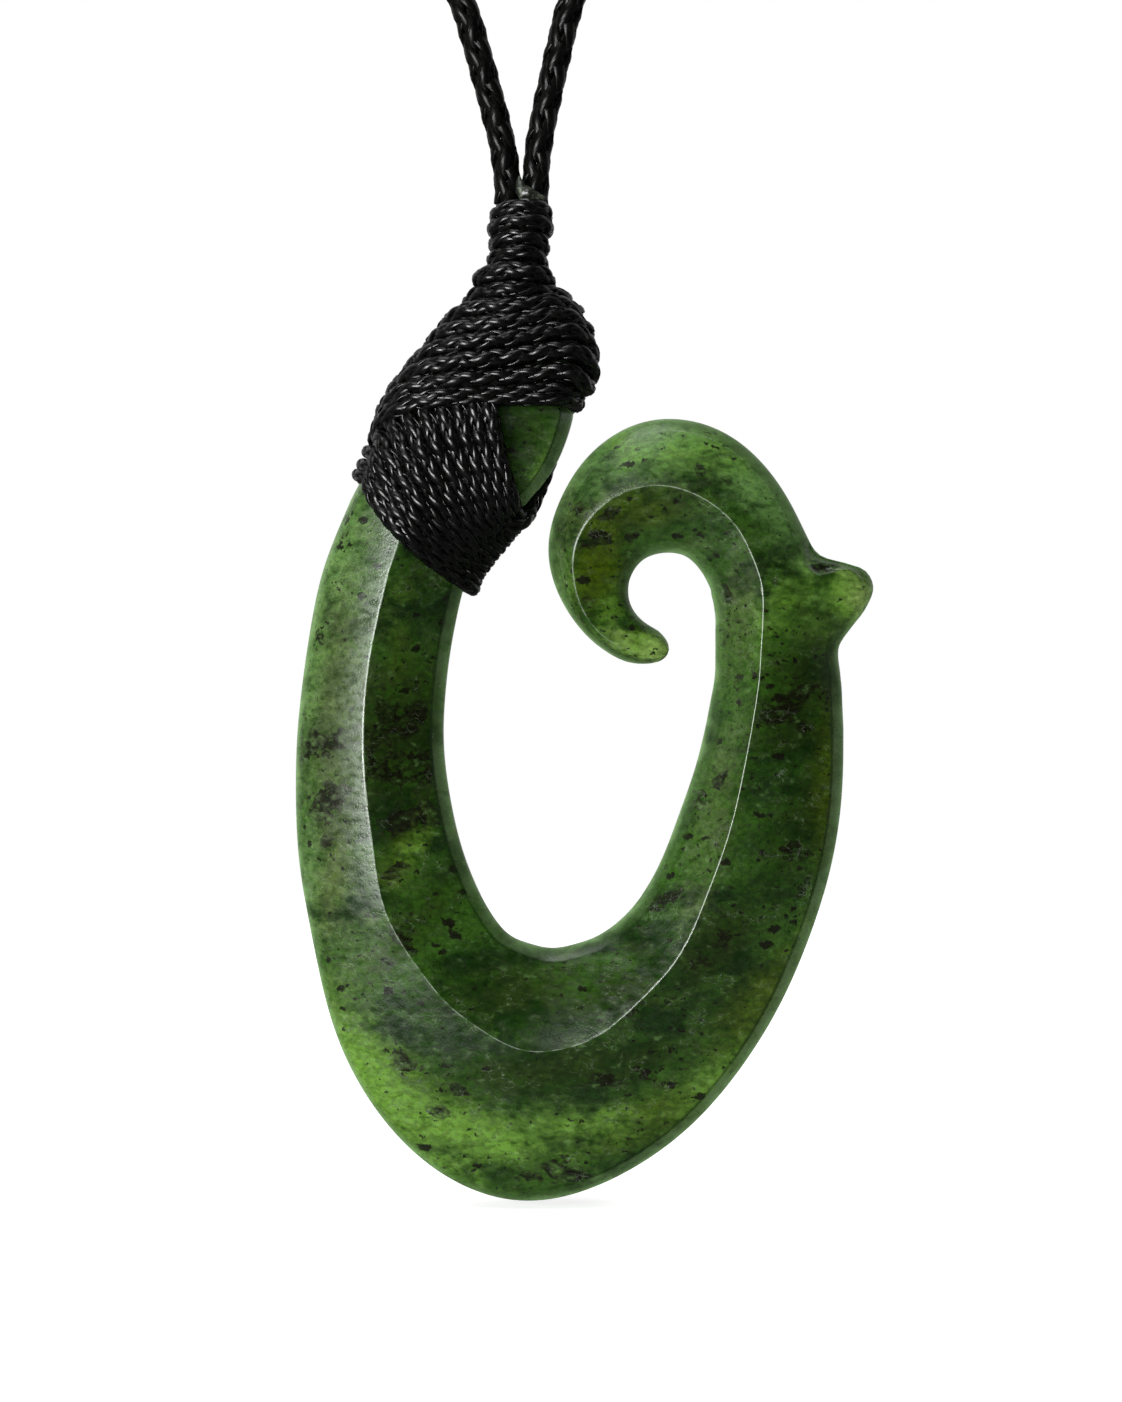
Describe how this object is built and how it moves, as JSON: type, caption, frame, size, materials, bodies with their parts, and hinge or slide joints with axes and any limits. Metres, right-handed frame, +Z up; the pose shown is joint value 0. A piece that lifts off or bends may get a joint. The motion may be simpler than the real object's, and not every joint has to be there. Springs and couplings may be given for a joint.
{
  "type": "stone hook pendant",
  "caption": "Carved green stone fish-hook pendant with a barb and an inner curl, its head bound with black thread and hung from a plaited black neck cord loop.",
  "frame": {"origin": "underside of the closure at the nape, where the loop hangs on the back of the neck", "axes": "+X to the wearer's left, towards the hook's barb, -Y out of the hook's front face, +Z up"},
  "size_m": [0.1447, 0.0102, 0.2157],
  "materials": {
    "stone": "polished mottled green stone",
    "thread": "waxed braided black thread",
    "cord": "plaited black cord",
    "closure": "plain satin black"
  },
  "bodies": {
    "root": {"stone_hook": "stone", "bound_core": "cord", "neck_binding": "thread", "head_whipping": "thread", "notch_lashing": "thread", "neck_cord": "cord", "nape_slide": "closure"}
  },
  "joints": []
}
